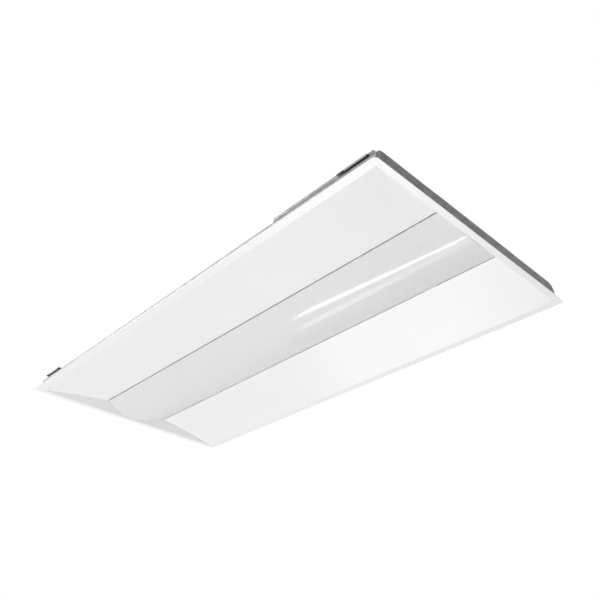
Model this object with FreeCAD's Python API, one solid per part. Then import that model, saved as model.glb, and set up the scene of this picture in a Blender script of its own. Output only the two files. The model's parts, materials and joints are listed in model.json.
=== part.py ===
import FreeCAD, Part
import math
import os

# Recessed troffer light for a lay-in ceiling grid, in millimetres.
# X is the long axis, Y the short axis and Z points up into the ceiling. The origin is the
# centre of the face flange's underside, which rests on the grid. The near end is at +X,
# the left side at -Y. The lens door hangs on hinges along its right edge.

# Face
FACE_LENGTH = 1213.0
FACE_WIDTH = 603.0
FACE_SHEET = 0.7
SIDE_BAND = 18.0
END_BAND = 14.0
CORNER_RADIUS = 9.0
SIDE_HEM = 10.0
END_HEM = 6.3
WING_CROWN = 2.0
WING_EDGE_HEIGHT = 26.0
END_SLOPE = 0.52
SEAM_GAP = 0.2
BUTT_GAP = 0.3

# Housing
HOUSING_SHEET = 0.6
HOUSING_HEIGHT = 40.0
SIDE_INSET = 15.0
END_INSET = 10.0
SHOULDER_RADIUS = 20.0
FOOT_WIDTH = 5.6
BACK_LIP_GAP = 2.0
END_TAB_DEPTH = 15.0
END_TAB_WIDTH = 130.0

# Channel cover along the middle of the back
CHANNEL_TOP = 82.0
CHANNEL_HALF_WIDTH = 102.0
CHANNEL_END_GAP = 10.5
CHANNEL_DRAFT_Y = 12.0
CHANNEL_DRAFT_X = 30.0
CHANNEL_FLANGE = 16.0

# Light chamber and lamp
OPENING_HALF_WIDTH = 96.8
TRAY_END_GAP = 40.5
TRAY_HEIGHT = 54.0
TRAY_DRAFT_Y = 17.0
TRAY_DRAFT_X = 12.0
TRAY_FLANGE = 14.0
TRAY_SHEET = 0.6
BOARD_WIDTH = 24.0
BOARD_THICKNESS = 1.6
BOARD_ROW = 38.0
BOARD_MIDDLE_GAP = 12.0
BOARD_END_GAP = 10.0
BOARD_SCREW_INSET = 164.0
CHIP_SIZE = 3.0
CHIP_HEIGHT = 0.7
CHIP_PITCH = 44.0
DRIVER_LENGTH = 320.0
DRIVER_WIDTH = 44.0
DRIVER_HEIGHT = 22.0
DRIVER_FROM_BUSHING = 50.0
DRIVER_EAR = 16.0
DRIVER_EAR_SHEET = 1.2
DRIVER_EDGE = 2.0

# Lens door
LENS_SHEET = 2.5
LENS_LOWEST = 1.2
LENS_EDGE_HEIGHT = 25.0
LENS_GAP_CATCH = 2.6
LENS_GAP_HINGE = 4.9
LENS_END_GAP = 0.9
LEG_SHEET = 2.0
LEG_INSET = 3.0
LEG_TOP = 34.5
RAIL_SHEET = 0.8
RAIL_FIT = 0.15
RAIL_DEPTH = 6.0
RAIL_END_GAP = 36.5
RIB_THICKNESS = 3.0
RIB_INSET = 12.0
RIB_TOP = 30.0
RIB_FIT = 0.15

# Hinges of the lens door
HINGE_INSET = 140.0
HINGE_HEIGHT = 26.3
HINGE_FROM_LIP = 2.3
KNUCKLE_RADIUS = 1.9
PIN_RADIUS = 0.9
PIN_FIT = 0.05
KNUCKLE_LENGTH = 14.0
KNUCKLE_GAP = 0.3
LEAF_SHEET = 0.8

# Spring catches of the lens door
CATCH_INSET = 180.0
CATCH_WIDTH = 28.0
CATCH_SHEET = 0.5
CATCH_SHY = 0.3
CATCH_BOW = 2.7
CATCH_STEP = 0.6

# Grid clips
CLIP_LENGTH = 80.0
CLIP_SHEET = 1.2
CLIP_FREE_END_GAP = 29.5
CLIP_PIVOT_END_GAP = 19.5
CLIP_BOSS_RADIUS = 7.5
CLIP_OUTER_INSET = 17.7
CLIP_PIVOT_INSET = 39.6
CLIP_HOOK_LENGTH = 51.0
CLIP_HOOK_DEPTH = 3.2
CLIP_SLOT_FROM = 24.0
CLIP_SLOT_LENGTH = 30.0
CLIP_SLOT_WIDTH = 5.0
RIVET_RADIUS = 2.4
RIVET_HEAD_RADIUS = 4.6
RIVET_HEAD = 1.2
RIVET_FIT = 0.06
RIVET_ROOM = 0.8

# Wiring box and its access cover
BOX_LENGTH = 257.0
BOX_END_GAP = 31.5
BOX_SIDE_GAP = 33.5
BOX_CHANNEL_GAP = 2.0
BOX_TOP = 77.2
BOX_TAB = 9.0
BOX_SHEET = 0.8
BOX_LIP = 7.0
LIP_FIT = 0.3
KNOCKOUT_RADIUS = 11.1
KNOCKOUT_HEIGHT = 56.0
KNOCKOUT_SIDE = 58.0
COVER_HINGE_INSET = 40.0
COVER_LEAF = 10.0
COVER_KNUCKLE_RADIUS = 1.6
COVER_PIN_RADIUS = 0.8
BUSHING_RADIUS = 8.0
BUSHING_BORE = 6.0
BUSHING_FLANGE = 10.5
BUSHING_RIM = 1.5
BUSHING_REACH = 3.0
BUSHING_FROM_BOX_END = 125.0
BUSHING_HEIGHT = 60.0
BUSHING_FIT = 0.2

# Wiring
CONNECTOR_LENGTH = 22.0
CONNECTOR_WIDTH = 24.0
CONNECTOR_HEIGHT = 14.0
CONNECTOR_PORT = 2.2
CONNECTOR_PORT_PITCH = 7.5
CONNECTOR_PORT_DEPTH = 8.0
CONNECTOR_FROM_WALL = 48.0
SUPPLY_RADIUS = 3.0
SUPPLY_DROP = 16.0
SUPPLY_REST = 50.0
SUPPLY_LIFT = 6.0
BEND_SHARE = 0.45
TUBE_SIDES = 8
LEAD_RADIUS = 1.25
LEAD_HOLE_RADIUS = 2.6
LEAD_Y = 10.0
LEAD_RUN = 30.0
PLUG_LENGTH = 12.0
PLUG_WIDTH = 8.0
PLUG_HEIGHT = 4.0
LINK_LENGTH = 28.0
LINK_HEIGHT = 3.0

# Holes for hanging wires
HANG_HOLE_RADIUS = 3.6
HANG_END_DISTANCE = 326.5
HANG_SIDE_DISTANCE = 71.5

# Screws
SCREW_RADIUS = 1.9
SCREW_HEAD_RADIUS = 3.6
SCREW_HEAD = 2.2
SCREW_LENGTH = 6.0
SCREW_FIT = 0.15
SCREW_SIDES = 8
KNUCKLE_SIDES = 12
CHANNEL_SCREW_INSET = 246.0
END_SCREW_SIDE_DISTANCE = 111.5
BOX_SCREW_INSET = 24.0
GROUND_SCREW_INSET = 30.0

# Derived places
HALF_LENGTH = FACE_LENGTH / 2
HALF_WIDTH = FACE_WIDTH / 2
BAND_Y = HALF_WIDTH - SIDE_BAND
BAND_X = HALF_LENGTH - END_BAND
HOUSING_Y = HALF_WIDTH - SIDE_INSET
HOUSING_X = HALF_LENGTH - END_INSET
HOUSING_UNDER = HOUSING_HEIGHT - HOUSING_SHEET
CHANNEL_HALF_LENGTH = HOUSING_X - CHANNEL_END_GAP
TRAY_HALF_LENGTH = HOUSING_X - TRAY_END_GAP
RAIL_HALF_LENGTH = HOUSING_X - RAIL_END_GAP
BOARD_LENGTH = TRAY_HALF_LENGTH - TRAY_DRAFT_X - BOARD_END_GAP - BOARD_MIDDLE_GAP / 2
HINGE_POSITIONS = (HINGE_INSET - RAIL_HALF_LENGTH, 0.0, RAIL_HALF_LENGTH - HINGE_INSET)
CATCH_POSITIONS = (CATCH_INSET - RAIL_HALF_LENGTH, RAIL_HALF_LENGTH - CATCH_INSET)
RIB_POSITION = RAIL_HALF_LENGTH - RIB_INSET
BOX_TO = HOUSING_X - BOX_END_GAP
BOX_FROM = BOX_TO - BOX_LENGTH
BOX_OUTER = HOUSING_Y - BOX_SIDE_GAP
BOX_INNER = CHANNEL_HALF_WIDTH + CHANNEL_FLANGE + BOX_CHANNEL_GAP
BUSHING_X = BOX_TO - BUSHING_FROM_BOX_END
DRIVER_START = BUSHING_X - DRIVER_FROM_BUSHING - DRIVER_LENGTH
COVER_HINGES = (BOX_FROM + COVER_HINGE_INSET, BOX_TO - COVER_HINGE_INSET)
TRAY_FLANGE_UNDER = HOUSING_UNDER - TRAY_SHEET
LENS_LEFT = -(OPENING_HALF_WIDTH - LENS_GAP_CATCH)
LENS_RIGHT = OPENING_HALF_WIDTH - LENS_GAP_HINGE
LENS_MIDDLE = (LENS_LEFT + LENS_RIGHT) / 2
LENS_HALF = (LENS_RIGHT - LENS_LEFT) / 2
LENS_RISE = LENS_EDGE_HEIGHT - LENS_LOWEST
LENS_RADIUS = (LENS_HALF ** 2 + LENS_RISE ** 2) / (2 * LENS_RISE)
LENS_CENTRE_Z = LENS_LOWEST + LENS_RADIUS
HINGE_Y = OPENING_HALF_WIDTH - HINGE_FROM_LIP
CLIP_PIVOT_Y = HALF_WIDTH - CLIP_PIVOT_INSET
CLIP_OUTER_Y = HALF_WIDTH - CLIP_OUTER_INSET
CLIP_REACH = CLIP_LENGTH - CLIP_BOSS_RADIUS
CLIP_LEFT_PIVOTS = (HALF_LENGTH - CLIP_FREE_END_GAP - CLIP_REACH, CLIP_PIVOT_END_GAP - HALF_LENGTH)
COVER_HINGE_Y = -BOX_INNER + COVER_KNUCKLE_RADIUS
COVER_UNDER = BOX_TOP
COVER_HINGE_Z = COVER_UNDER + BOX_SHEET / 2
FAR = 2000.0
BELOW = 10.0
TOUCH = 0.01


def vec(x, y, z):
    return FreeCAD.Vector(x, y, z)


def block(x0, x1, y0, y1, z0, z1):
    return Part.makeBox(x1 - x0, y1 - y0, z1 - z0, vec(x0, y0, z0))


def rod(radius, length, start, direction):
    return Part.makeCylinder(radius, length, start, direction)


def prism_x(outline, x0, x1):
    """Extrude a closed outline of (y, z) points from x0 to x1."""
    corners = [vec(x0, y, z) for y, z in outline]
    face = Part.Face(Part.makePolygon(corners + corners[:1]))
    return face.extrude(vec(x1 - x0, 0, 0))


def prism_y(outline, y0, y1):
    """Extrude a closed outline of (x, z) points from y0 to y1."""
    corners = [vec(x, y0, z) for x, z in outline]
    face = Part.Face(Part.makePolygon(corners + corners[:1]))
    return face.extrude(vec(0, y1 - y0, 0))


def fuse_all(solids):
    joined = solids[0].multiFuse(solids[1:]) if len(solids) > 1 else solids[0]
    return joined.removeSplitter()


def mirrored_y(shape):
    return shape.mirror(vec(0, 0, 0), vec(0, 1, 0))


def mirrored_x(shape):
    return shape.mirror(vec(0, 0, 0), vec(1, 0, 0))


def frustum(x_low, y_low, z_low, x_high, y_high, z_high):
    """Solid between two centred rectangles, given by half lengths and half widths."""
    wires = []
    for x, y, z in ((x_low, y_low, z_low), (x_high, y_high, z_high)):
        corners = [vec(x, y, z), vec(-x, y, z), vec(-x, -y, z), vec(x, -y, z)]
        wires.append(Part.makePolygon(corners + corners[:1]))
    return Part.makeLoft(wires, True, True)


def arc_edge(start, middle, end):
    return Part.Arc(vec(*start), vec(*middle), vec(*end)).toShape()


def line_edge(start, end):
    return Part.LineSegment(vec(*start), vec(*end)).toShape()


def many_sided(sides, radius, start, travel):
    """Prism round an axis along X, Y or Z; radius reaches its corners."""
    first, second = (vec(0, 1, 0), vec(0, 0, 1)) if travel.x else (vec(1, 0, 0), vec(0, 0, 1))
    if travel.z:
        second = vec(0, 1, 0)
    turns = [2 * math.pi * (i + 0.5) / sides for i in range(sides)]
    corners = [start + first * (radius * math.cos(t)) + second * (radius * math.sin(t)) for t in turns]
    return Part.Face(Part.makePolygon(corners + corners[:1])).extrude(travel)


def screw(x, y, seat, direction):
    """Hex-headed screw whose head sits on the height seat and whose shank points along direction."""
    head = many_sided(6, SCREW_HEAD_RADIUS, vec(x, y, seat), vec(0, 0, -direction * SCREW_HEAD))
    shank = many_sided(SCREW_SIDES, SCREW_RADIUS, vec(x, y, seat), vec(0, 0, direction * SCREW_LENGTH))
    return head.fuse(shank).removeSplitter()


def screw_holes(places, z_low, z_high):
    radius = SCREW_RADIUS + SCREW_FIT
    return [many_sided(SCREW_SIDES, radius, vec(x, y, z_low), vec(0, 0, z_high - z_low)) for x, y in places]


# Screw places, each written once and used by the screws and by the holes
CHANNEL_SCREW_Y = CHANNEL_HALF_WIDTH + CHANNEL_FLANGE / 2
CHANNEL_SCREW_X = CHANNEL_HALF_LENGTH - CHANNEL_SCREW_INSET
CHANNEL_SCREWS = [(x, y) for x in (-CHANNEL_SCREW_X, 0.0, CHANNEL_SCREW_X)
                  for y in (-CHANNEL_SCREW_Y, CHANNEL_SCREW_Y)]
END_SCREW_X = HOUSING_X - HOUSING_SHEET - END_TAB_DEPTH / 2
END_SCREW_Y = HALF_WIDTH - END_SCREW_SIDE_DISTANCE
END_SCREWS = [(sx * END_SCREW_X, sy * END_SCREW_Y) for sx in (-1, 1) for sy in (-1, 1)]
BOARD_CENTRES = [(sx * (BOARD_MIDDLE_GAP / 2 + BOARD_LENGTH / 2), sy * BOARD_ROW)
                 for sx in (-1, 1) for sy in (-1, 1)]
BOARD_SCREWS = [(x + side * (BOARD_LENGTH / 2 - BOARD_SCREW_INSET), y)
                for x, y in BOARD_CENTRES for side in (-1, 1)]
DRIVER_SCREWS = [(DRIVER_START - DRIVER_EAR / 2, 0.0),
                 (DRIVER_START + DRIVER_LENGTH + DRIVER_EAR / 2, 0.0)]
HANG_HOLES = [(sx * (HALF_LENGTH - HANG_END_DISTANCE), sy * (HALF_WIDTH - HANG_SIDE_DISTANCE))
              for sx in (-1, 1) for sy in (-1, 1)]
GROUND_SCREW = (BOX_FROM + GROUND_SCREW_INSET, GROUND_SCREW_INSET - BOX_OUTER)
BOX_SCREWS = [(BOX_TO - BOX_SCREW_INSET, BOX_SCREW_INSET - BOX_OUTER),
              (BOX_TO - BOX_SCREW_INSET, -BOX_INNER - BOX_SCREW_INSET)]
LEAD_X = DRIVER_START - LEAD_RUN
LEAD_HOLES = [(LEAD_X, sy * LEAD_Y) for sy in (-1, 1)]


def end_space(extra):
    """Everything beyond the sloped end reflectors' inner faces, drawn in by extra."""
    start = BAND_X - extra
    top = HOUSING_HEIGHT * 3
    outline = [(start + END_SLOPE * BELOW, -BELOW), (start - END_SLOPE * top, top), (FAR, top), (FAR, -BELOW)]
    near = prism_y(outline, -FAR, FAR)
    return near.fuse(mirrored_x(near))


def wing_rise_at_middle():
    """Lower face of the wing half way between the band and the lens opening."""
    return WING_EDGE_HEIGHT / 2 + WING_CROWN


def reflector():
    """Right-hand reflector: hemmed flange, coved wing and the lip beside the lens."""
    lip_top = TRAY_FLANGE_UNDER
    middle_y = (BAND_Y + OPENING_HALF_WIDTH) / 2
    bottom = (0, OPENING_HALF_WIDTH, WING_EDGE_HEIGHT)
    edges = [
        arc_edge((0, BAND_Y, 0), (0, middle_y, wing_rise_at_middle()), bottom),
        line_edge(bottom, (0, OPENING_HALF_WIDTH, lip_top)),
        line_edge((0, OPENING_HALF_WIDTH, lip_top), (0, OPENING_HALF_WIDTH + FACE_SHEET, lip_top)),
        line_edge((0, OPENING_HALF_WIDTH + FACE_SHEET, lip_top),
                  (0, OPENING_HALF_WIDTH + FACE_SHEET, WING_EDGE_HEIGHT + FACE_SHEET)),
        arc_edge((0, OPENING_HALF_WIDTH + FACE_SHEET, WING_EDGE_HEIGHT + FACE_SHEET),
                 (0, middle_y, wing_rise_at_middle() + FACE_SHEET), (0, BAND_Y, FACE_SHEET)),
        line_edge((0, BAND_Y, FACE_SHEET), (0, BAND_Y, 0)),
    ]
    wing = Part.Face(Part.Wire(edges)).extrude(vec(FACE_LENGTH, 0, 0))
    wing.translate(vec(-HALF_LENGTH, 0, 0))
    wing = wing.cut(end_space(BUTT_GAP))
    flange = block(-HALF_LENGTH, HALF_LENGTH, BAND_Y, HALF_WIDTH, 0, FACE_SHEET)
    hem = block(-HALF_LENGTH, HALF_LENGTH, HALF_WIDTH - SIDE_HEM, HALF_WIDTH, FACE_SHEET, 2 * FACE_SHEET)
    rim = flange.fuse(hem).removeSplitter()
    outer = [e for e in rim.Edges
             if abs(e.CenterOfMass.y - HALF_WIDTH) < TOUCH and e.Length < 3 * FACE_SHEET
             and abs(abs(e.CenterOfMass.x) - HALF_LENGTH) < TOUCH]
    rim = rim.makeFillet(CORNER_RADIUS, outer)
    return fuse_all([rim, wing])


def end_reflector():
    """Near end piece: hemmed flange, sloped end face and the tab under the back."""
    top = TRAY_FLANGE_UNDER
    face_top = BAND_X - END_SLOPE * (top - FACE_SHEET)
    lean = FACE_SHEET * math.sqrt(1 + END_SLOPE ** 2)
    outline = [
        (HALF_LENGTH, 0), (BAND_X, 0), (BAND_X - END_SLOPE * top, top),
        (HOUSING_X - HOUSING_SHEET - SEAM_GAP, top),
        (HOUSING_X - HOUSING_SHEET - SEAM_GAP, top - FACE_SHEET),
        (face_top + lean, top - FACE_SHEET), (BAND_X + lean - END_SLOPE * FACE_SHEET, FACE_SHEET),
        (HALF_LENGTH - END_HEM, FACE_SHEET), (HALF_LENGTH - END_HEM, 2 * FACE_SHEET),
        (HALF_LENGTH, 2 * FACE_SHEET),
    ]
    half = BAND_Y - SEAM_GAP
    piece = prism_y(outline, -half, half).common(housing_space(SEAM_GAP))
    low, high = top - FACE_SHEET - 1, top + 1
    rivet_place = vec(-CLIP_LEFT_PIVOTS[1], CLIP_PIVOT_Y, low)
    rivet_room = many_sided(SCREW_SIDES, RIVET_HEAD_RADIUS + RIVET_ROOM, rivet_place, vec(0, 0, high - low))
    return piece.cut([rivet_room] + screw_holes([p for p in END_SCREWS if p[0] > 0], low, high))


def housing_space(inset):
    """Space inside the housing's section, drawn in by inset, and all below its shoulders."""
    y = HOUSING_Y - HOUSING_SHEET - inset
    top = HOUSING_UNDER
    radius = SHOULDER_RADIUS - HOUSING_SHEET
    lean = radius * math.sqrt(0.5)
    edges = [
        line_edge((0, -y, -BELOW), (0, -y, top - radius)),
        arc_edge((0, -y, top - radius), (0, -y + radius - lean, top - radius + lean), (0, -y + radius, top)),
        line_edge((0, -y + radius, top), (0, y - radius, top)),
        arc_edge((0, y - radius, top), (0, y - radius + lean, top - radius + lean), (0, y, top - radius)),
        line_edge((0, y, top - radius), (0, y, -BELOW)),
        line_edge((0, y, -BELOW), (0, -y, -BELOW)),
    ]
    space = Part.Face(Part.Wire(edges)).extrude(vec(2 * FAR, 0, 0))
    space.translate(vec(-FAR, 0, 0))
    return space


def housing_section(thick_inner_y):
    """Closed section of the right-hand housing side, from its foot to thick_inner_y."""
    outer, sheet, radius = HOUSING_Y, HOUSING_SHEET, SHOULDER_RADIUS
    top, foot_low, foot_high = HOUSING_HEIGHT, FACE_SHEET, FACE_SHEET + HOUSING_SHEET
    lean = math.sqrt(0.5)
    centre_y, centre_z = outer - radius, top - radius
    inner_radius = radius - sheet
    edges = [
        line_edge((0, outer - sheet, foot_low), (0, outer - sheet + FOOT_WIDTH, foot_low)),
        line_edge((0, outer - sheet + FOOT_WIDTH, foot_low), (0, outer - sheet + FOOT_WIDTH, foot_high)),
        line_edge((0, outer - sheet + FOOT_WIDTH, foot_high), (0, outer, foot_high)),
        line_edge((0, outer, foot_high), (0, outer, centre_z)),
        arc_edge((0, outer, centre_z), (0, centre_y + radius * lean, centre_z + radius * lean),
                 (0, centre_y, top)),
        line_edge((0, centre_y, top), (0, thick_inner_y, top)),
        line_edge((0, thick_inner_y, top), (0, thick_inner_y, top - sheet)),
        line_edge((0, thick_inner_y, top - sheet), (0, centre_y, top - sheet)),
        arc_edge((0, centre_y, top - sheet),
                 (0, centre_y + inner_radius * lean, centre_z + inner_radius * lean),
                 (0, outer - sheet, centre_z)),
        line_edge((0, outer - sheet, centre_z), (0, outer - sheet, foot_low)),
    ]
    return Part.Face(Part.Wire(edges))


def clip_pivots():
    """Two pivots on the left side, and the same two turned half round on the right side."""
    return [(sy * x, -sy * CLIP_PIVOT_Y) for x in CLIP_LEFT_PIVOTS for sy in (1, -1)]


def housing_side(side):
    """One side of the back: foot, wall, rounded shoulder and top, with its holes."""
    length = 2 * (HOUSING_X - HOUSING_SHEET)
    shape = housing_section(OPENING_HALF_WIDTH + FACE_SHEET + BACK_LIP_GAP).extrude(vec(length, 0, 0))
    shape.translate(vec(-length / 2, 0, 0))
    if side < 0:
        shape = mirrored_y(shape)
    low, high = HOUSING_UNDER - 1, HOUSING_HEIGHT + 1
    holes = screw_holes([p for p in CHANNEL_SCREWS + END_SCREWS if p[1] * side > 0], low, high)
    holes += [rod(HANG_HOLE_RADIUS, high - low, vec(x, y, low), vec(0, 0, 1))
              for x, y in HANG_HOLES if y * side > 0]
    holes += [many_sided(KNUCKLE_SIDES, RIVET_RADIUS + RIVET_FIT, vec(x, y, low), vec(0, 0, high - low))
              for x, y in clip_pivots() if y * side > 0]
    if side < 0:
        holes += screw_holes(BOX_SCREWS + [GROUND_SCREW], low, high)
    return shape.cut(holes).removeSplitter()


def end_cap():
    """Near end of the back: rounded plate, foot on the flange and two screw tabs."""
    outline = housing_outline_face().extrude(vec(HOUSING_SHEET, 0, 0))
    outline.translate(vec(HOUSING_X - HOUSING_SHEET, 0, 0))
    foot = block(HOUSING_X - HOUSING_SHEET, HALF_LENGTH - END_HEM - SEAM_GAP,
                 -(BAND_Y - SEAM_GAP), BAND_Y - SEAM_GAP, FACE_SHEET, FACE_SHEET + HOUSING_SHEET)
    tabs = [block(HOUSING_X - HOUSING_SHEET - END_TAB_DEPTH, HOUSING_X - HOUSING_SHEET,
                  y - END_TAB_WIDTH / 2, y + END_TAB_WIDTH / 2, TRAY_FLANGE_UNDER, HOUSING_UNDER)
            for y in (-END_SCREW_Y, END_SCREW_Y)]
    shape = fuse_all([outline, foot] + tabs)
    holes = screw_holes([p for p in END_SCREWS if p[0] > 0], TRAY_FLANGE_UNDER - 1, HOUSING_UNDER + 1)
    return shape.cut(holes)


def housing_outline_face():
    """Outer section of the back, filled, from the foot up."""
    y, top, radius, low = HOUSING_Y, HOUSING_HEIGHT, SHOULDER_RADIUS, FACE_SHEET
    lean = radius * math.sqrt(0.5)
    edges = [
        line_edge((0, -y, low), (0, -y, top - radius)),
        arc_edge((0, -y, top - radius), (0, -y + radius - lean, top - radius + lean), (0, -y + radius, top)),
        line_edge((0, -y + radius, top), (0, y - radius, top)),
        arc_edge((0, y - radius, top), (0, y - radius + lean, top - radius + lean), (0, y, top - radius)),
        line_edge((0, y, top - radius), (0, y, low)),
        line_edge((0, y, low), (0, -y, low)),
    ]
    return Part.Face(Part.Wire(edges))


def bushing_hole(beyond):
    """Hole for the wire bushing, from inside the wiring box to this far past its inner wall."""
    start = vec(BUSHING_X, -BOX_INNER - 2 * BOX_SHEET, BUSHING_HEIGHT)
    travel = vec(0, 2 * BOX_SHEET + beyond, 0)
    return many_sided(2 * KNUCKLE_SIDES, BUSHING_RADIUS + BUSHING_FIT, start, travel)


def channel_cover():
    """Drawn cover along the middle of the back, with a screwed flange all round."""
    low, high, sheet = HOUSING_HEIGHT, CHANNEL_TOP, HOUSING_SHEET
    x_low, y_low = CHANNEL_HALF_LENGTH, CHANNEL_HALF_WIDTH
    x_high, y_high = x_low - CHANNEL_DRAFT_X, y_low - CHANNEL_DRAFT_Y
    outer = frustum(x_low, y_low, low, x_high, y_high, high)
    inner = frustum(x_low - sheet, y_low - sheet, low, x_high - sheet, y_high - sheet, high - sheet)
    flange = block(-HOUSING_X, HOUSING_X, -y_low - CHANNEL_FLANGE, y_low + CHANNEL_FLANGE, low, low + sheet)
    shape = outer.fuse(flange).cut(inner)
    holes = screw_holes(CHANNEL_SCREWS, low - 1, low + sheet + 1)
    holes.append(bushing_hole(BOX_INNER - y_high / 2))
    return shape.cut(holes).removeSplitter()


def led_tray():
    """White trough above the lens that carries the boards below and the driver above."""
    low, high, sheet = TRAY_FLANGE_UNDER, TRAY_HEIGHT, TRAY_SHEET
    x_low, y_low = TRAY_HALF_LENGTH, OPENING_HALF_WIDTH
    x_high, y_high = x_low - TRAY_DRAFT_X, y_low - TRAY_DRAFT_Y
    inner = frustum(x_low, y_low, low, x_high, y_high, high)
    outer = frustum(x_low + sheet, y_low + sheet, low, x_high + sheet, y_high + sheet, high + sheet)
    flange = block(-x_low - TRAY_FLANGE, x_low + TRAY_FLANGE, -y_low - TRAY_FLANGE, y_low + TRAY_FLANGE,
                   low, low + sheet)
    shape = outer.fuse(flange).cut(inner)
    holes = screw_holes(BOARD_SCREWS + DRIVER_SCREWS, high - 1, high + sheet + 1)
    holes += [many_sided(SCREW_SIDES, LEAD_HOLE_RADIUS, vec(x, y, high - 1), vec(0, 0, sheet + 2))
              for x, y in LEAD_HOLES]
    holes += screw_holes(CHANNEL_SCREWS, low - 1, low + sheet + 1)
    return shape.cut(holes).removeSplitter()


def led_board(centre_x, centre_y):
    """One circuit board with its row of lamps facing down."""
    high, low = TRAY_HEIGHT, TRAY_HEIGHT - BOARD_THICKNESS
    board = block(centre_x - BOARD_LENGTH / 2, centre_x + BOARD_LENGTH / 2,
                  centre_y - BOARD_WIDTH / 2, centre_y + BOARD_WIDTH / 2, low, high)
    count = int(BOARD_LENGTH // CHIP_PITCH)
    start = centre_x - (count - 1) * CHIP_PITCH / 2
    chips = [block(start + i * CHIP_PITCH - CHIP_SIZE / 2, start + i * CHIP_PITCH + CHIP_SIZE / 2,
                   centre_y - CHIP_SIZE / 2, centre_y + CHIP_SIZE / 2, low - CHIP_HEIGHT, low)
             for i in range(count)]
    places = [p for p in BOARD_SCREWS if abs(p[0] - centre_x) < BOARD_LENGTH / 2 and p[1] == centre_y]
    return fuse_all([board] + chips).cut(screw_holes(places, low - 1, high + 1))


def driver():
    """Electronic driver: chamfered case with a mounting ear at each end."""
    low = TRAY_HEIGHT + TRAY_SHEET
    end = DRIVER_START + DRIVER_LENGTH
    case = block(DRIVER_START, end, -DRIVER_WIDTH / 2, DRIVER_WIDTH / 2, low, low + DRIVER_HEIGHT)
    upper = [e for e in case.Edges if e.CenterOfMass.z > low + DRIVER_HEIGHT / 4]
    case = case.makeChamfer(DRIVER_EDGE, upper)
    ears = [block(a, b, -DRIVER_WIDTH / 4, DRIVER_WIDTH / 4, low, low + DRIVER_EAR_SHEET)
            for a, b in ((DRIVER_START - DRIVER_EAR, DRIVER_START), (end, end + DRIVER_EAR))]
    return fuse_all([case] + ears).cut(screw_holes(DRIVER_SCREWS, low - 1, low + DRIVER_EAR_SHEET + 1))


def lens():
    """Frosted lens: one shallow arc with an upright leg along each edge."""
    def point(radius, y):
        return (0, y, LENS_CENTRE_Z - math.sqrt(radius ** 2 - (y - LENS_MIDDLE) ** 2))
    inner_radius = LENS_RADIUS - LENS_SHEET
    inner_half = LENS_HALF * inner_radius / LENS_RADIUS
    low = [point(LENS_RADIUS, y) for y in (LENS_RIGHT, LENS_MIDDLE, LENS_LEFT)]
    high = [point(inner_radius, y)
            for y in (LENS_MIDDLE - inner_half, LENS_MIDDLE, LENS_MIDDLE + inner_half)]
    edges = [arc_edge(*low), line_edge(low[2], high[0]), arc_edge(*high), line_edge(high[2], low[0])]
    shell = Part.Face(Part.Wire(edges)).extrude(vec(FACE_LENGTH, 0, 0))
    shell.translate(vec(-HALF_LENGTH, 0, 0))
    legs = []
    for y0, y1 in leg_spans():
        base = point(LENS_RADIUS - LENS_SHEET / 2, (y0 + y1) / 2)[2]
        legs.append(block(-HALF_LENGTH, HALF_LENGTH, y0, y1, base, LEG_TOP))
    return fuse_all([shell] + legs).cut(end_space(LENS_END_GAP))


def leg_spans():
    """Y ranges of the two legs, left then right."""
    left = LENS_LEFT + LEG_INSET
    right = LENS_RIGHT - LEG_INSET
    return [(left, left + LEG_SHEET), (right - LEG_SHEET, right)]


def lens_rail(side):
    """Folded steel channel that stiffens one leg of the lens."""
    y0, y1 = leg_spans()[0 if side < 0 else 1]
    inner0, inner1 = y0 - RAIL_FIT, y1 + RAIL_FIT
    top = LEG_TOP + RAIL_FIT
    bottom = LEG_TOP - RAIL_DEPTH
    outline = [
        (inner0 - RAIL_SHEET, bottom), (inner0, bottom), (inner0, top), (inner1, top), (inner1, bottom),
        (inner1 + RAIL_SHEET, bottom), (inner1 + RAIL_SHEET, top + RAIL_SHEET),
        (inner0 - RAIL_SHEET, top + RAIL_SHEET),
    ]
    return prism_x(outline, -RAIL_HALF_LENGTH, RAIL_HALF_LENGTH)


def lens_end_rib():
    """White rib across the near end of the lens, shaped to the lens's inner face."""
    left = leg_spans()[0][1] + RAIL_FIT + RAIL_SHEET + RIB_FIT
    right = leg_spans()[1][0] - RAIL_FIT - RAIL_SHEET - RIB_FIT
    slab = block(RIB_POSITION - RIB_THICKNESS / 2, RIB_POSITION + RIB_THICKNESS / 2, left, right,
                 LENS_LOWEST, RIB_TOP)
    round_cut = rod(LENS_RADIUS - LENS_SHEET - RIB_FIT, FACE_LENGTH,
                    vec(-HALF_LENGTH, LENS_MIDDLE, LENS_CENTRE_Z), vec(1, 0, 0))
    return slab.common(round_cut)


def hinge_fixed_leaf(x):
    """Fixed leaf: middle knuckle and the plate that rises along the reflector's lip."""
    half = KNUCKLE_LENGTH / 2
    bore = PIN_RADIUS + PIN_FIT
    level = HINGE_HEIGHT + KNUCKLE_RADIUS * math.cos(math.pi / KNUCKLE_SIDES)
    plate = block(x - half, x + half, OPENING_HALF_WIDTH - LEAF_SHEET, OPENING_HALF_WIDTH,
                  HINGE_HEIGHT, TRAY_FLANGE_UNDER)
    start, travel = vec(x - half, HINGE_Y, HINGE_HEIGHT), vec(2 * half, 0, 0)
    knuckle = many_sided(KNUCKLE_SIDES, KNUCKLE_RADIUS, start, travel)
    hole = many_sided(KNUCKLE_SIDES, bore, start, travel)
    bridge = block(x - half, x + half, HINGE_Y, OPENING_HALF_WIDTH, level - LEAF_SHEET, level)
    return fuse_all([plate, knuckle, bridge]).cut(hole)


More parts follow.
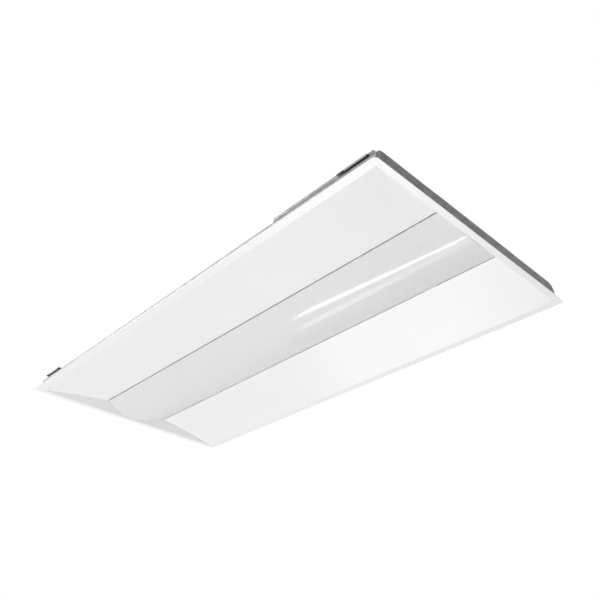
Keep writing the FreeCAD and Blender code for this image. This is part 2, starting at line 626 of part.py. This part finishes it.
def hinge_door_leaf(x):
    """Door leaf: two outer knuckles and the angle that is fixed to the lens rail."""
    half = KNUCKLE_LENGTH / 2
    bore = PIN_RADIUS + PIN_FIT
    rail_face = leg_spans()[1][1] + RAIL_FIT + RAIL_SHEET
    level = HINGE_HEIGHT + KNUCKLE_RADIUS * math.cos(math.pi / KNUCKLE_SIDES)
    pieces = []
    for x0 in (x - half - KNUCKLE_GAP - half, x + half + KNUCKLE_GAP):
        start = vec(x0, HINGE_Y, HINGE_HEIGHT)
        pieces.append(many_sided(KNUCKLE_SIDES, KNUCKLE_RADIUS, start, vec(half, 0, 0)))
        pieces.append(block(x0, x0 + half, rail_face, HINGE_Y, level - LEAF_SHEET, level))
    span = half + KNUCKLE_GAP + half
    pieces.append(block(x - span, x + span, rail_face, rail_face + LEAF_SHEET,
                        level - LEAF_SHEET, LEG_TOP))
    hole = many_sided(KNUCKLE_SIDES, bore, vec(x - span, HINGE_Y, HINGE_HEIGHT), vec(2 * span, 0, 0))
    return fuse_all(pieces).cut(hole)


def hinge_pin(x):
    span = KNUCKLE_LENGTH + KNUCKLE_GAP
    return many_sided(KNUCKLE_SIDES, PIN_RADIUS, vec(x - span, HINGE_Y, HINGE_HEIGHT), vec(2 * span, 0, 0))


def lens_catch(x):
    """Spring-steel catch on the left lip whose bow bears on the lens rail."""
    wall, sheet, step = -OPENING_HALF_WIDTH, CATCH_SHEET, CATCH_STEP
    nose = leg_spans()[0][0] - RAIL_FIT - RAIL_SHEET - CATCH_SHY
    high = TRAY_FLANGE_UNDER
    middle = LEG_TOP - RAIL_DEPTH / 2
    low, shoulder = middle - CATCH_BOW, middle + CATCH_BOW
    outline = [
        (wall, high), (wall, shoulder), (nose - sheet, middle), (wall + step, low),
        (wall + step + sheet, low), (nose, middle), (wall + sheet, shoulder + sheet), (wall + sheet, high),
    ]
    return prism_x(outline, x - CATCH_WIDTH / 2, x + CATCH_WIDTH / 2)


def grid_clip(pivot_x):
    """Clip on the left side: flat arm on a boss, with a hook along its outer edge."""
    low, high = HOUSING_HEIGHT, HOUSING_HEIGHT + CLIP_SHEET
    pivot_y, outer, free = -CLIP_PIVOT_Y, -CLIP_OUTER_Y, pivot_x + CLIP_REACH
    arm = block(pivot_x, free, outer, pivot_y + CLIP_BOSS_RADIUS, low, high)
    corners = [e for e in arm.Edges if abs(e.CenterOfMass.x - free) < TOUCH and e.Length < 2 * CLIP_SHEET]
    arm = arm.makeChamfer(CLIP_BOSS_RADIUS / 2, corners)
    centre = vec(pivot_x, pivot_y, low)
    boss = many_sided(2 * KNUCKLE_SIDES, CLIP_BOSS_RADIUS, centre, vec(0, 0, CLIP_SHEET))
    hook_end = free - CLIP_BOSS_RADIUS / 2
    hook_low = low - CLIP_HOOK_DEPTH
    hook = block(hook_end - CLIP_HOOK_LENGTH, hook_end, outer, outer + CLIP_SHEET, hook_low, high)
    slot = block(pivot_x + CLIP_SLOT_FROM, pivot_x + CLIP_SLOT_FROM + CLIP_SLOT_LENGTH,
                 pivot_y - CLIP_SLOT_WIDTH, pivot_y, low - 1, high + 1)
    hole = rod(RIVET_RADIUS + RIVET_FIT, 3 * CLIP_SHEET, vec(pivot_x, pivot_y, low - 1), vec(0, 0, 1))
    return fuse_all([arm, boss, hook]).cut([slot, hole])


def turned_half_round(shape):
    """The same piece on the other side, turned about the vertical through the middle."""
    turned = shape.copy()
    turned.rotate(vec(0, 0, 0), vec(0, 0, 1), 180)
    return turned


def rivet(x, y):
    """Shouldered rivet: head above the clip, shank through both, upset head below the housing."""
    low, high = HOUSING_UNDER, HOUSING_HEIGHT + CLIP_SHEET + RIVET_FIT
    shank = many_sided(KNUCKLE_SIDES, RIVET_RADIUS, vec(x, y, low), vec(0, 0, high - low))
    head = many_sided(KNUCKLE_SIDES, RIVET_HEAD_RADIUS, vec(x, y, high), vec(0, 0, RIVET_HEAD))
    tail = many_sided(KNUCKLE_SIDES, RIVET_HEAD_RADIUS, vec(x, y, low), vec(0, 0, -RIVET_HEAD))
    return fuse_all([shank, head, tail])


def wiring_box():
    """Folded wrapper of the wiring box: base and the two long walls."""
    low, high, sheet = HOUSING_HEIGHT, BOX_TOP, BOX_SHEET
    y0, y1 = -BOX_OUTER, -BOX_INNER
    outline = [(y0, high), (y0, low), (y1, low), (y1, high), (y1 - sheet, high), (y1 - sheet, low + sheet),
               (y0 + sheet, low + sheet), (y0 + sheet, high)]
    holes = screw_holes(BOX_SCREWS + [GROUND_SCREW], low - 1, low + sheet + 1)
    return prism_x(outline, BOX_FROM, BOX_TO).cut([bushing_hole(sheet)] + holes)


def wiring_box_end(outside_x, inward):
    """End plate of the wiring box with a tab down to the base; inward is the way to the middle."""
    low, high, sheet = HOUSING_HEIGHT + BOX_SHEET, BOX_TOP, BOX_SHEET
    y0, y1 = -BOX_OUTER + BOX_SHEET, -BOX_INNER - BOX_SHEET
    xs = sorted((outside_x, outside_x + inward * sheet))
    plate = block(xs[0], xs[1], y0, y1, low, high)
    tabs = sorted((outside_x, outside_x + inward * BOX_TAB))
    tab = block(tabs[0], tabs[1], y0 + BOX_TAB, y1 - BOX_TAB, low, low + sheet)
    shape = plate.fuse(tab).removeSplitter()
    if inward < 0:
        start = vec(outside_x - 2 * sheet, KNOCKOUT_SIDE - BOX_OUTER, KNOCKOUT_HEIGHT)
        shape = shape.cut(rod(KNOCKOUT_RADIUS, 4 * sheet, start, vec(1, 0, 0)))
    return shape


def access_cover():
    """Lid of the wiring box, with a lip on its three free sides."""
    low, sheet = COVER_UNDER, BOX_SHEET
    x0, x1 = BOX_FROM - LIP_FIT - sheet, BOX_TO + LIP_FIT + sheet
    y0 = -BOX_OUTER - LIP_FIT - sheet
    plate = block(x0, x1, y0, -BOX_INNER, low, low + sheet)
    lips = [block(x0, x0 + sheet, y0, -BOX_INNER - BOX_LIP, low - BOX_LIP, low),
            block(x1 - sheet, x1, y0, -BOX_INNER - BOX_LIP, low - BOX_LIP, low),
            block(x0, x1, y0, y0 + sheet, low - BOX_LIP, low)]
    return fuse_all([plate] + lips)


def cover_box_leaf(x):
    """Leaf on the wiring box's inner wall, with the middle knuckle."""
    half = KNUCKLE_LENGTH / 2
    plate = block(x - half, x + half, -BOX_INNER, -BOX_INNER + LEAF_SHEET,
                  BOX_TOP - COVER_LEAF, COVER_HINGE_Z)
    start, travel = vec(x - half, COVER_HINGE_Y, COVER_HINGE_Z), vec(2 * half, 0, 0)
    knuckle = many_sided(KNUCKLE_SIDES, COVER_KNUCKLE_RADIUS, start, travel)
    hole = many_sided(KNUCKLE_SIDES, COVER_PIN_RADIUS + PIN_FIT, start, travel)
    return fuse_all([plate, knuckle]).cut(hole)


def cover_lid_leaf(x):
    """Leaf on top of the access cover, with the two outer knuckles."""
    half = KNUCKLE_LENGTH / 2
    low = COVER_UNDER + BOX_SHEET
    pieces = []
    leaf_y = -BOX_INNER - LEAF_SHEET
    for x0 in (x - half - KNUCKLE_GAP - half, x + half + KNUCKLE_GAP):
        start = vec(x0, COVER_HINGE_Y, COVER_HINGE_Z)
        pieces.append(many_sided(KNUCKLE_SIDES, COVER_KNUCKLE_RADIUS, start, vec(half, 0, 0)))
        pieces.append(block(x0, x0 + half, leaf_y, COVER_HINGE_Y, low, low + LEAF_SHEET))
    span = 2 * half + KNUCKLE_GAP
    pieces.append(block(x - span, x + span, -BOX_INNER - COVER_LEAF, leaf_y, low, low + LEAF_SHEET))
    start = vec(x - span, COVER_HINGE_Y, COVER_HINGE_Z)
    hole = many_sided(KNUCKLE_SIDES, COVER_PIN_RADIUS + PIN_FIT, start, vec(2 * span, 0, 0))
    return fuse_all(pieces).cut(hole)


def cover_pin(x):
    span = KNUCKLE_LENGTH + KNUCKLE_GAP
    return many_sided(KNUCKLE_SIDES, COVER_PIN_RADIUS, vec(x - span, COVER_HINGE_Y, COVER_HINGE_Z),
                      vec(2 * span, 0, 0))


def channel_wall_y(z):
    """Outer half width of the channel cover at height z."""
    share = (z - HOUSING_HEIGHT) / (CHANNEL_TOP - HOUSING_HEIGHT)
    return CHANNEL_HALF_WIDTH - CHANNEL_DRAFT_Y * share


def wire_bushing():
    """Plastic bushing that lines the way from the wiring box into the channel."""
    rim_y = -BOX_INNER - BOX_SHEET
    end_y = BUSHING_REACH - channel_wall_y(BUSHING_HEIGHT + BUSHING_RADIUS)
    start = vec(BUSHING_X, rim_y, BUSHING_HEIGHT)
    body = many_sided(2 * KNUCKLE_SIDES, BUSHING_RADIUS, start, vec(0, end_y - rim_y, 0))
    rim = many_sided(2 * KNUCKLE_SIDES, BUSHING_FLANGE, start, vec(0, -BUSHING_RIM, 0))
    bore = many_sided(2 * KNUCKLE_SIDES, BUSHING_BORE, start - vec(0, BUSHING_RIM + 1, 0),
                      vec(0, end_y - rim_y + BUSHING_RIM + 2, 0))
    return fuse_all([body, rim]).cut(bore)


def tube(points, radius):
    """Tube along straight runs joined by tangent arcs as large as the runs allow."""
    corners = [vec(*p) for p in points]
    edges = []
    last = corners[0]
    for before, corner, after in zip(corners, corners[1:], corners[2:]):
        reach = BEND_SHARE * min((before - corner).Length, (after - corner).Length)
        back = (before - corner).normalize()
        ahead = (after - corner).normalize()
        half_turn = (math.pi - back.getAngle(ahead)) / 2
        bend = reach / math.tan(half_turn)
        start, end = corner + back * reach, corner + ahead * reach
        inward = (back + ahead).normalize()
        middle = corner + inward * (bend / math.cos(half_turn) - bend)
        edges.append(Part.LineSegment(last, start).toShape())
        edges.append(Part.Arc(start, middle, end).toShape())
        last = end
    edges.append(Part.LineSegment(last, corners[-1]).toShape())
    circle = Part.makeCircle(radius, corners[0], corners[1] - corners[0])
    ring = Part.makePolygon(circle.discretize(TUBE_SIDES + 1))
    return Part.Wire(edges).makePipe(Part.Face(ring))


def wire_connector():
    """Push-in connector on the wiring box's base, with three ports for the supply wires."""
    x0 = BUSHING_X - CONNECTOR_WIDTH / 2
    y1 = -BOX_INNER - CONNECTOR_FROM_WALL
    low = HOUSING_HEIGHT + BOX_SHEET
    case = block(x0, x0 + CONNECTOR_WIDTH, y1 - CONNECTOR_LENGTH, y1, low, low + CONNECTOR_HEIGHT)
    upper = [e for e in case.Edges if e.CenterOfMass.z > low + CONNECTOR_HEIGHT - TOUCH]
    case = case.makeChamfer(BOX_SHEET, upper)
    travel = vec(0, CONNECTOR_PORT_DEPTH + 1, 0)
    starts = [vec(BUSHING_X + i * CONNECTOR_PORT_PITCH, y1 - CONNECTOR_LENGTH - 1, low + CONNECTOR_HEIGHT / 2)
              for i in (-1, 0, 1)]
    return case.cut([many_sided(SCREW_SIDES, CONNECTOR_PORT, start, travel) for start in starts])


def supply_lead():
    """Sheathed lead from the connector through the bushing to the driver's near end."""
    y_start = -BOX_INNER - CONNECTOR_FROM_WALL
    z_start = HOUSING_HEIGHT + BOX_SHEET + CONNECTOR_HEIGHT / 2
    driver_end = DRIVER_START + DRIVER_LENGTH
    points = [
        (BUSHING_X, y_start, z_start),
        (BUSHING_X, y_start + SUPPLY_DROP, z_start),
        (BUSHING_X, y_start + 2 * SUPPLY_DROP, BUSHING_HEIGHT),
        (BUSHING_X, -LEAD_Y - SUPPLY_REST, BUSHING_HEIGHT),
        (BUSHING_X, -LEAD_Y, BUSHING_HEIGHT + SUPPLY_LIFT),
        (driver_end, -LEAD_Y, BUSHING_HEIGHT + SUPPLY_LIFT),
    ]
    return tube(points, SUPPLY_RADIUS)


def board_lead(side):
    """Lead from the driver's far end down through the tray to a board's plug."""
    y = side * LEAD_Y
    high = TRAY_HEIGHT + TRAY_SHEET + DRIVER_HEIGHT / 3
    low = TRAY_HEIGHT - BOARD_THICKNESS - PLUG_HEIGHT / 2
    points = [(DRIVER_START, y, high), (LEAD_X, y, high), (LEAD_X, y, low),
              (LEAD_X, side * (BOARD_ROW - BOARD_WIDTH / 2), low)]
    return tube(points, LEAD_RADIUS)


def board_plug(side):
    """Small connector on the underside of a near board, where its lead arrives."""
    high = TRAY_HEIGHT - BOARD_THICKNESS
    edge = BOARD_ROW - BOARD_WIDTH / 2
    y0, y1 = sorted((side * edge, side * (edge + PLUG_WIDTH)))
    half = PLUG_LENGTH / 2
    return block(LEAD_X - half, LEAD_X + half, y0, y1, high - PLUG_HEIGHT, high)


def board_link(side):
    """Link across the gap between the two boards of a row."""
    high = TRAY_HEIGHT - BOARD_THICKNESS
    y = side * BOARD_ROW
    return block(-LINK_LENGTH / 2, LINK_LENGTH / 2, y - PLUG_WIDTH / 2, y + PLUG_WIDTH / 2,
                 high - LINK_HEIGHT, high)


def parts():
    """Every node's name and shape."""
    near_clip, far_clip = (grid_clip(x) for x in CLIP_LEFT_PIVOTS)
    boards = [led_board(x, y) for x, y in BOARD_CENTRES]
    nodes = {
        "reflector_right": reflector(),
        "reflector_left": mirrored_y(reflector()),
        "end_reflector_near": end_reflector(),
        "end_reflector_far": turned_half_round(end_reflector()),
        "housing_side_left": housing_side(-1),
        "housing_side_right": housing_side(1),
        "end_cap_near": end_cap(),
        "end_cap_far": mirrored_x(end_cap()),
        "channel_cover": channel_cover(),
        "led_tray": led_tray(),
        "driver": driver(),
        "lens": lens(),
        "lens_rail_catch": lens_rail(-1),
        "lens_rail_hinge": lens_rail(1),
        "lens_end_rib_near": lens_end_rib(),
        "lens_end_rib_far": mirrored_x(lens_end_rib()),
        "lens_hinge_fixed_leaves": Part.Compound([hinge_fixed_leaf(x) for x in HINGE_POSITIONS]),
        "lens_hinge_door_leaves": Part.Compound([hinge_door_leaf(x) for x in HINGE_POSITIONS]),
        "lens_hinge_pins": Part.Compound([hinge_pin(x) for x in HINGE_POSITIONS]),
        "lens_catches": Part.Compound([lens_catch(x) for x in CATCH_POSITIONS]),
        "grid_clip_near_left": near_clip,
        "grid_clip_far_left": far_clip,
        "grid_clip_near_right": turned_half_round(far_clip),
        "grid_clip_far_right": turned_half_round(near_clip),
        "clip_rivets": Part.Compound([rivet(x, y) for x, y in clip_pivots()]),
        "wiring_box": wiring_box(),
        "wiring_box_end_near": wiring_box_end(BOX_TO, -1),
        "wiring_box_end_far": wiring_box_end(BOX_FROM, 1),
        "wire_connector": wire_connector(),
        "supply_lead": supply_lead(),
        "board_leads": Part.Compound([board_lead(side) for side in (-1, 1)]),
        "board_plugs": Part.Compound([board_plug(side) for side in (-1, 1)]),
        "board_links": Part.Compound([board_link(side) for side in (-1, 1)]),
        "access_cover": access_cover(),
        "cover_box_leaves": Part.Compound([cover_box_leaf(x) for x in COVER_HINGES]),
        "cover_lid_leaves": Part.Compound([cover_lid_leaf(x) for x in COVER_HINGES]),
        "cover_pins": Part.Compound([cover_pin(x) for x in COVER_HINGES]),
        "wire_bushing": wire_bushing(),
    }
    for index, board in enumerate(boards, start=1):
        nodes[f"led_board_{index}"] = board
    nodes["channel_screws"] = Part.Compound(
        [screw(x, y, HOUSING_HEIGHT + HOUSING_SHEET, -1) for x, y in CHANNEL_SCREWS])
    nodes["end_cap_screws"] = Part.Compound([screw(x, y, HOUSING_HEIGHT, -1) for x, y in END_SCREWS])
    nodes["board_screws"] = Part.Compound(
        [screw(x, y, TRAY_HEIGHT - BOARD_THICKNESS, 1) for x, y in BOARD_SCREWS])
    nodes["driver_screws"] = Part.Compound(
        [screw(x, y, TRAY_HEIGHT + TRAY_SHEET + DRIVER_EAR_SHEET, -1) for x, y in DRIVER_SCREWS])
    nodes["wiring_box_screws"] = Part.Compound(
        [screw(x, y, HOUSING_HEIGHT + BOX_SHEET, -1) for x, y in BOX_SCREWS])
    nodes["ground_screw"] = screw(*GROUND_SCREW, HOUSING_HEIGHT + BOX_SHEET, -1)
    return nodes


def main():
    os.makedirs("parts", exist_ok=True)
    for name, shape in parts().items():
        shape.exportStep(os.path.join("parts", name + ".step"))
        print(name, "solids", len(shape.Solids), "valid", shape.isValid(), "volume", round(shape.Volume))


main()
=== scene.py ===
import bpy
import math
from mathutils import Matrix, Vector
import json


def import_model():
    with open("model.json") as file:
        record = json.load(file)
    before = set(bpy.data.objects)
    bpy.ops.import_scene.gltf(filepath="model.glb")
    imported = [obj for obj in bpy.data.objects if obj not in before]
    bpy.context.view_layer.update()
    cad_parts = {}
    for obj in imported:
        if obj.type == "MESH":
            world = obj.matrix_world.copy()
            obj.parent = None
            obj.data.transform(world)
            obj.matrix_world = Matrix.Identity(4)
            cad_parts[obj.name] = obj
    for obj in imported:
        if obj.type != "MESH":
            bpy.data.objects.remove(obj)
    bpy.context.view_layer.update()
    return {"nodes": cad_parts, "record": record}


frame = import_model()
nodes = frame["nodes"]

# The lamps, all facing the object: name, place in m, length along X, width, radiance of the face
LAMPS = (
    ("key_lamp", (-0.2, -1.9, -2.2), 2.6, 2.2, 2.15),
    ("sheen_lamp", (-1.1, 1.8, -2.0), 1.5, 0.45, 1.8),
    ("top_lamp", (-2.3, -1.5, 2.2), 2.0, 2.0, 2.2),
)
# The long narrow lamp that the lens mirrors as a thin streak
STREAK_ENDS = ((-0.44, 1.409, -2.0), (-1.51, 0.666, -2.0))
STREAK_WIDTH = 0.2
STREAK_LEVEL = 8.0

# Light of the sky on the object, and as the camera and mirrors see it
SKY = 0.66
SKY_SEEN = 1.0

FLOOR_TONE = 0.82
FLOOR_LIFT = 0.25
FLOOR_HEIGHT = -4.0
FLOOR_HALF = 60.0

# The camera: azimuth, elevation and roll in degrees, place in m, focal length in pixels
CAMERA_ANGLES = (46.8965, -33.1574, 1.0174)
CAMERA_PLACE = (1.087447, -0.909684, -0.776749)
FOCAL_PIXELS = 671.672
FRAME_PIXELS = 600
SENSOR_WIDTH = 36.0

# The end caps take a darker copy of the back's zinc: painted shade, standing in for the shade
# that falls on them
SHADED_END_CAPS = ("end_cap_near", "end_cap_far")


# ---------------------------------------------------------------- materials
def new_material(name):
    mat = bpy.data.materials.new(name)
    mat.use_nodes = True
    tree = mat.node_tree
    tree.nodes.clear()
    out = tree.nodes.new("ShaderNodeOutputMaterial")
    shader = tree.nodes.new("ShaderNodeBsdfPrincipled")
    tree.links.new(shader.outputs["BSDF"], out.inputs["Surface"])
    return mat, tree, shader


def coordinates(tree):
    return tree.nodes.new("ShaderNodeTexCoord").outputs["Object"]


def noise(tree, scale, detail=3.0):
    tex = tree.nodes.new("ShaderNodeTexNoise")
    tex.inputs["Scale"].default_value = scale
    tex.inputs["Detail"].default_value = detail
    tree.links.new(coordinates(tree), tex.inputs["Vector"])
    return tex.outputs["Fac"]


def ramp(tree, value, low, high, start=0.3, end=0.7):
    node = tree.nodes.new("ShaderNodeValToRGB")
    node.color_ramp.elements[0].position = start
    node.color_ramp.elements[1].position = end
    node.color_ramp.elements[0].color = (*low, 1)
    node.color_ramp.elements[1].color = (*high, 1)
    tree.links.new(value, node.inputs["Fac"])
    return node.outputs["Color"]


def bump(tree, shader, value, strength, distance):
    node = tree.nodes.new("ShaderNodeBump")
    node.inputs["Strength"].default_value = strength
    node.inputs["Distance"].default_value = distance
    tree.links.new(value, node.inputs["Height"])
    tree.links.new(node.outputs["Normal"], shader.inputs["Normal"])


def grey(value):
    return (value, value, value)


def painted(name, tone, spread, roughness, gloss=0.0):
    """Paint or dull plating: an even tone with a faint drift and a fine orange-peel."""
    mat, tree, shader = new_material(name)
    shader.inputs["Roughness"].default_value = roughness
    shader.inputs["Coat Weight"].default_value = gloss
    shader.inputs["Coat Roughness"].default_value = roughness
    colour = ramp(tree, noise(tree, 6.0), grey(tone - spread), grey(tone + spread))
    tree.links.new(colour, shader.inputs["Base Color"])
    bump(tree, shader, noise(tree, 900.0, 2.0), 0.06, 0.0004)
    return mat


def galvanised(name, low, high, roughness, spread=0.06):
    """Zinc coat with a faint spangle of crystals, which differ in tone and in roughness."""
    mat, tree, shader = new_material(name)
    shader.inputs["Metallic"].default_value = 0.85
    cells = tree.nodes.new("ShaderNodeTexVoronoi")
    cells.inputs["Scale"].default_value = 95.0
    tree.links.new(coordinates(tree), cells.inputs["Vector"])
    split = tree.nodes.new("ShaderNodeSeparateColor")
    tree.links.new(cells.outputs["Color"], split.inputs["Color"])
    colour = ramp(tree, split.outputs["Red"], grey(low), grey(high), 0.0, 1.0)
    tree.links.new(colour, shader.inputs["Base Color"])
    rough = tree.nodes.new("ShaderNodeMapRange")
    rough.inputs["To Min"].default_value = roughness - spread
    rough.inputs["To Max"].default_value = roughness + spread
    tree.links.new(split.outputs["Green"], rough.inputs["Value"])
    tree.links.new(rough.outputs["Result"], shader.inputs["Roughness"])
    bump(tree, shader, noise(tree, 260.0), 0.05, 0.0003)
    return mat


def steel(name, tone, roughness):
    """Bright plated steel with a fine mottle."""
    mat, tree, shader = new_material(name)
    shader.inputs["Metallic"].default_value = 1.0
    shader.inputs["Roughness"].default_value = roughness
    mottle = noise(tree, 300.0, 4.0)
    colour = ramp(tree, mottle, grey(tone * 0.9), grey(tone * 1.08))
    tree.links.new(colour, shader.inputs["Base Color"])
    bump(tree, shader, mottle, 0.08, 0.0002)
    return mat


def plastic(name, low, high, roughness):
    """Moulded plastic or enamel between two close tones, with a fine grain."""
    mat, tree, shader = new_material(name)
    shader.inputs["Roughness"].default_value = roughness
    tree.links.new(ramp(tree, noise(tree, 40.0), low, high), shader.inputs["Base Color"])
    bump(tree, shader, noise(tree, 1200.0, 2.0), 0.08, 0.0002)
    return mat


def frosted(name):
    """Frosted acrylic: a body that lets some light through, under a smooth skin."""
    mat, tree, shader = new_material(name)
    shader.inputs["Roughness"].default_value = 0.6
    shader.inputs["IOR"].default_value = 1.49
    shader.inputs["Transmission Weight"].default_value = 0.26
    shader.inputs["Coat Weight"].default_value = 0.7
    shader.inputs["Coat Roughness"].default_value = 0.08
    colour = ramp(tree, noise(tree, 5.0), grey(0.92), grey(0.94))
    tree.links.new(colour, shader.inputs["Base Color"])
    bump(tree, shader, noise(tree, 1400.0, 2.0), 0.04, 0.0002)
    return mat


def circuit_board(name, level):
    """White solder mask; what hangs below the level is the yellow phosphor of the lamps."""
    mat, tree, shader = new_material(name)
    shader.inputs["Roughness"].default_value = 0.35
    height = tree.nodes.new("ShaderNodeSeparateXYZ")
    tree.links.new(coordinates(tree), height.inputs["Vector"])
    below = tree.nodes.new("ShaderNodeMath")
    below.operation = "LESS_THAN"
    below.inputs[1].default_value = level
    tree.links.new(height.outputs["Z"], below.inputs[0])
    mix = tree.nodes.new("ShaderNodeMix")
    mix.data_type = "RGBA"
    mask = ramp(tree, noise(tree, 40.0), grey(0.8), grey(0.84))
    phosphor = ramp(tree, noise(tree, 400.0), (0.86, 0.60, 0.12), (0.90, 0.66, 0.16))
    tree.links.new(below.outputs["Value"], mix.inputs["Factor"])
    tree.links.new(mask, mix.inputs["A"])
    tree.links.new(phosphor, mix.inputs["B"])
    tree.links.new(mix.outputs["Result"], shader.inputs["Base Color"])
    return mat


def lamp_level(thinnest=0.0003):
    """Height between the boards' underside and the lowest points of their lamps."""
    heights = [v.co.z for v in nodes["led_board_1"].data.vertices]
    lowest = min(heights)
    underside = min(z for z in heights if z > lowest + thinnest)
    return (lowest + underside) / 2


MATERIALS = {
    "face_white": painted("paint_face_white", 0.87, 0.006, 0.30, 0.7),
    "galvanised": galvanised("zinc_galvanised", 0.24, 0.33, 0.42),
    "chamber_white": painted("paint_chamber_white", 0.88, 0.006, 0.6),
    "driver_case": painted("paint_driver_case", 0.72, 0.01, 0.5),
    "frosted_acrylic": frosted("acrylic_frosted"),
    "rail_steel": painted("paint_rail", 0.84, 0.008, 0.45),
    "white_plastic": plastic("plastic_white", grey(0.78), grey(0.82), 0.45),
    "black_plastic": plastic("plastic_black", grey(0.02), grey(0.03), 0.5),
    "bright_steel": steel("steel_bright", 0.62, 0.3),
    "spring_steel": painted("steel_zinc_plated", 0.7, 0.03, 0.4),
    "circuit_board": circuit_board("board_white", lamp_level()),
    "ground_green": plastic("steel_ground_green", (0.02, 0.2, 0.06), (0.03, 0.26, 0.08), 0.35),
}
# Darker copy of the galvanised zinc, used only on the end caps as painted shade
ZINC_PAINTED_SHADE = galvanised("zinc_painted_shade", 0.115, 0.175, 0.45)


def dress_cad_nodes():
    for part in frame["record"]["subparts"]:
        obj = nodes[part["node"]]
        # The end caps get the darker zinc, which is painted shade
        shaded = part["node"] in SHADED_END_CAPS
        obj.data.materials.clear()
        obj.data.materials.append(ZINC_PAINTED_SHADE if shaded else MATERIALS[part["material_slot"]])


# ---------------------------------------------------------------- studio
def area(name, place, along, length, width, level):
    """Soft rectangular lamp that faces the object, with its length turned along a direction."""
    data = bpy.data.lights.new(name, "AREA")
    data.shape = "RECTANGLE"
    data.size, data.size_y = length, width
    data.energy = level * math.pi * length * width
    obj = bpy.data.objects.new(name, data)
    bpy.context.scene.collection.objects.link(obj)
    back = Vector(place).normalized()
    across = (Vector(along) - back * back.dot(Vector(along))).normalized()
    turn = Matrix((across, back.cross(across), back)).transposed().to_4x4()
    obj.matrix_world = Matrix.Translation(place) @ turn


def lamps():
    for name, place, length, width, level in LAMPS:
        area(name, place, (1, 0, 0), length, width, level)
    first, last = (Vector(end) for end in STREAK_ENDS)
    along = last - first
    area("streak_lamp", (first + last) / 2, along, along.length, STREAK_WIDTH, STREAK_LEVEL)


def seen_directly(tree):
    """1 for rays from the camera and for those that mirrors and clear parts send on, else 0."""
    path = tree.nodes.new("ShaderNodeLightPath")
    seen = path.outputs["Is Camera Ray"]
    for kind in ("Is Glossy Ray", "Is Transmission Ray"):
        either = tree.nodes.new("ShaderNodeMath")
        either.operation = "MAXIMUM"
        tree.links.new(seen, either.inputs[0])
        tree.links.new(path.outputs[kind], either.inputs[1])
        seen = either.outputs["Value"]
    return seen


def floor():
    """Wide pale floor that takes the object's shadow, and looks a little paler than it lights."""
    corners = [(x * FLOOR_HALF, y * FLOOR_HALF, FLOOR_HEIGHT)
               for x, y in ((-1, -1), (1, -1), (1, 1), (-1, 1))]
    mesh = bpy.data.meshes.new("floor")
    mesh.from_pydata(corners, [], [(0, 1, 2, 3)])
    obj = bpy.data.objects.new("floor", mesh)
    bpy.context.scene.collection.objects.link(obj)
    mat, tree, shader = new_material("floor_pale")
    shader.inputs["Roughness"].default_value = 0.9
    colour = ramp(tree, noise(tree, 2.0), grey(FLOOR_TONE - 0.005), grey(FLOOR_TONE + 0.005))
    tree.links.new(colour, shader.inputs["Base Color"])
    lift = tree.nodes.new("ShaderNodeMath")
    lift.operation = "MULTIPLY"
    lift.inputs[1].default_value = FLOOR_LIFT
    tree.links.new(seen_directly(tree), lift.inputs[0])
    shader.inputs["Emission Color"].default_value = (1, 1, 1, 1)
    tree.links.new(lift.outputs["Value"], shader.inputs["Emission Strength"])
    mesh.materials.append(mat)


def world():
    """Even soft light; white where the camera and mirror-like surfaces see past the object."""
    scene_world = bpy.data.worlds.new("studio")
    bpy.context.scene.world = scene_world
    scene_world.use_nodes = True
    tree = scene_world.node_tree
    tree.nodes.clear()
    out = tree.nodes.new("ShaderNodeOutputWorld")
    mix = tree.nodes.new("ShaderNodeMixShader")
    tree.links.new(seen_directly(tree), mix.inputs["Fac"])
    for slot, strength in ((1, SKY), (2, SKY_SEEN)):
        shade = tree.nodes.new("ShaderNodeBackground")
        shade.inputs["Color"].default_value = (1, 1, 1, 1)
        shade.inputs["Strength"].default_value = strength
        tree.links.new(shade.outputs["Background"], mix.inputs[slot])
    tree.links.new(mix.outputs["Shader"], out.inputs["Surface"])


def camera():
    """The photograph's viewpoint, which looks up at the face from below."""
    azimuth, elevation, roll = (math.radians(angle) for angle in CAMERA_ANGLES)
    level = math.cos(elevation)
    back = Vector((math.sin(azimuth) * level, -math.cos(azimuth) * level, math.sin(elevation)))
    right = (-back).cross(Vector((0, 0, 1))).normalized()
    up = right.cross(-back)
    across = right * math.cos(roll) + up * math.sin(roll)
    upward = up * math.cos(roll) - right * math.sin(roll)
    turn = Matrix((across, upward, back)).transposed().to_4x4()
    data = bpy.data.cameras.new("camera")
    data.sensor_width = SENSOR_WIDTH
    data.lens = FOCAL_PIXELS / FRAME_PIXELS * SENSOR_WIDTH
    data.clip_start, data.clip_end = 0.01, 100.0
    obj = bpy.data.objects.new("camera", data)
    bpy.context.scene.collection.objects.link(obj)
    obj.matrix_world = Matrix.Translation(Vector(CAMERA_PLACE)) @ turn
    bpy.context.scene.camera = obj


dress_cad_nodes()
world()
floor()
lamps()
camera()
bpy.context.scene.view_settings.view_transform = "Standard"
